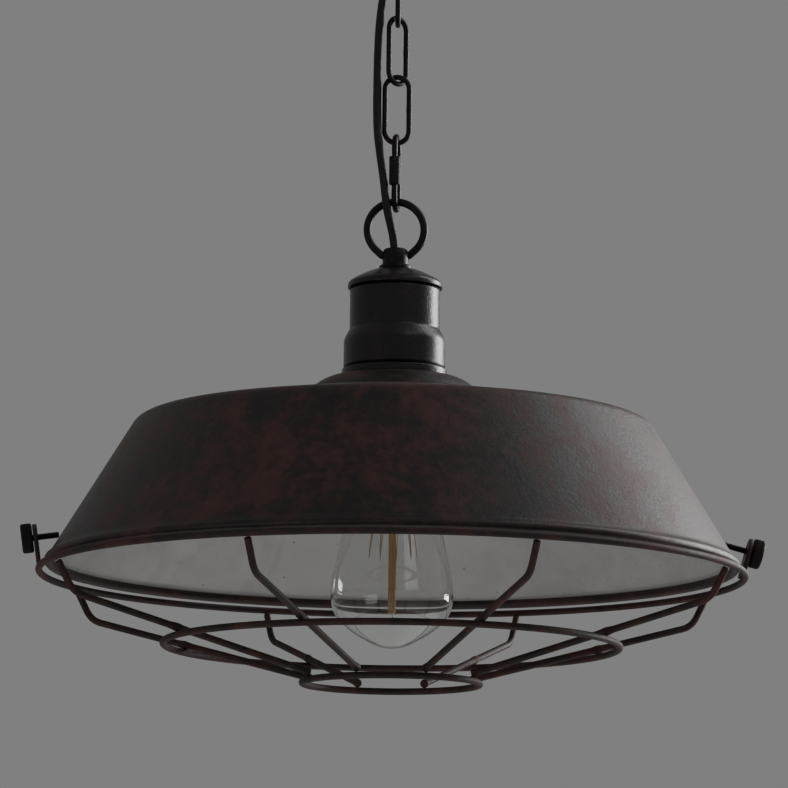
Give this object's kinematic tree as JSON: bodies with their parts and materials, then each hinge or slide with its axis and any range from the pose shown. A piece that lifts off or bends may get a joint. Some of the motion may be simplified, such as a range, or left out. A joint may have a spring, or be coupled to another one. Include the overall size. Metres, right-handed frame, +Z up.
{
  "type": "pendant light",
  "caption": "Industrial pendant light: flat-topped conical steel shade with a wire guard and pear-shaped filament bulb, hung on a short chain and cord from a ceiling canopy.",
  "frame": {"origin": "middle of the mounting bracket's top face, where it meets the ceiling", "axes": "+Z up, -Y toward the viewer of the front, +X to the viewer's right, where one thumb screw stands"},
  "size_m": [0.389, 0.3704, 0.4499],
  "materials": {
    "rust_brown": "satin",
    "black_steel": "satin",
    "zinc": "satin",
    "brass": "satin",
    "black_moulding": "matte",
    "porcelain": "gloss",
    "nylon": "matte",
    "bulb_aluminium": "satin",
    "black_glass": "gloss",
    "clear_glass": "gloss",
    "amber_filament": "satin",
    "cord_black": "matte"
  },
  "bodies": {
    "ceiling": {"ceiling_canopy": "rust_brown", "mounting_bracket": "zinc", "canopy_stud_left": "zinc", "canopy_stud_right": "zinc", "canopy_nut_left": "rust_brown", "canopy_nut_right": "rust_brown", "terminal_block": "nylon", "terminal_screw_1": "brass", "terminal_screw_2": "brass", "terminal_screw_3": "brass", "ceiling_collar": "black_steel", "ceiling_nipple": "zinc", "ceiling_lock_nut": "zinc"},
    "ceiling_ring": {"ceiling_ring": "black_steel"},
    "chain": {"chain_link_1": "black_steel", "chain_link_2": "black_steel", "chain_link_3": "black_steel", "quick_link": "black_steel", "lamp_ring": "black_steel", "supply_cord": "cord_black"},
    "quick_link_nut": {"quick_link_nut": "black_steel"},
    "lamp": {"lamp_collar": "black_steel", "cap_dome": "rust_brown", "cap_sleeve": "rust_brown", "cap_base_ring": "rust_brown", "lamp_nipple": "zinc", "lamp_lock_nut": "zinc", "lampholder_body": "black_moulding", "lampholder_shell": "brass", "lampholder_insert": "porcelain", "lampholder_contact": "brass", "shade_retaining_ring": "black_moulding", "shade": "rust_brown", "guard_top_ring": "rust_brown", "guard_middle_ring": "rust_brown", "guard_bottom_ring": "rust_brown", "guard_rib_1": "rust_brown", "guard_rib_2": "rust_brown", "guard_rib_3": "rust_brown", "guard_rib_4": "rust_brown", "guard_rib_5": "rust_brown", "guard_rib_6": "rust_brown", "guard_rib_7": "rust_brown", "guard_rib_8": "rust_brown", "guard_lug_left": "rust_brown", "guard_lug_right": "rust_brown"},
    "screw_left": {"thumb_screw_shank_left": "black_steel"},
    "knob_left": {"thumb_screw_knob_left": "black_steel"},
    "screw_right": {"thumb_screw_shank_right": "black_steel"},
    "knob_right": {"thumb_screw_knob_right": "black_steel"},
    "bulb_cap": {"bulb_tip": "brass"},
    "bulb": {"bulb_base": "bulb_aluminium", "bulb_insulator": "black_glass", "bulb_glass": "clear_glass", "bulb_stem": "clear_glass", "filament": "amber_filament"}
  },
  "joints": [
    {"name": "ceiling_ring_swing", "type": "hinge", "parent": "ceiling", "child": "ceiling_ring", "pos_m": [0, 0, -0.0359], "axis": [1, 0, 0], "range_deg": [-25, 25], "deforming": ["supply_cord"]},
    {"name": "chain_swing", "type": "hinge", "parent": "ceiling_ring", "child": "chain", "pos_m": [0, 0, -0.061], "axis": [0, 1, 0], "range_deg": [-25, 25], "deforming": ["supply_cord"]},
    {"name": "quick_link_nut_slide", "type": "slide", "parent": "chain", "child": "quick_link_nut", "axis": [0, 0, -1], "range_m": [0, 0.005]},
    {"name": "lamp_tilt", "type": "hinge", "parent": "chain", "child": "lamp", "pos_m": [0, 0, -0.2218], "axis": [1, 0, 0], "range_deg": [-20, 20], "deforming": ["supply_cord"]},
    {"name": "thumb_screw_left_travel", "type": "slide", "parent": "lamp", "child": "screw_left", "axis": [-0.9879, -0.0691, -0.1392], "range_m": [0, 0.008]},
    {"name": "thumb_screw_left_turn", "type": "hinge", "parent": "screw_left", "child": "knob_left", "pos_m": [-0.1849, -0.01293, -0.37514], "axis": [-0.9879, -0.0691, -0.1392], "range_deg": [0, 4100]},
    {"name": "thumb_screw_right_travel", "type": "slide", "parent": "lamp", "child": "screw_right", "axis": [0.9636, 0.0674, -0.2588], "range_m": [0, 0.008]},
    {"name": "thumb_screw_right_turn", "type": "hinge", "parent": "screw_right", "child": "knob_right", "pos_m": [0.18657, 0.01305, -0.37548], "axis": [0.9636, 0.0674, -0.2588], "range_deg": [0, 4100]},
    {"name": "bulb_travel", "type": "slide", "parent": "lamp", "child": "bulb_cap", "axis": [0, 0, -1], "range_m": [0, 0.02]},
    {"name": "bulb_turn", "type": "hinge", "parent": "bulb_cap", "child": "bulb", "pos_m": [0, 0, -0.3], "axis": [0, 0, -1], "range_deg": [0, 1980]}
  ],
  "couplings": [
    {"joint": "thumb_screw_left_travel", "follows": "thumb_screw_left_turn", "m_per_rad": 0.00011141},
    {"joint": "thumb_screw_right_travel", "follows": "thumb_screw_right_turn", "m_per_rad": 0.00011141},
    {"joint": "bulb_travel", "follows": "bulb_turn", "m_per_rad": 0.00057614}
  ]
}
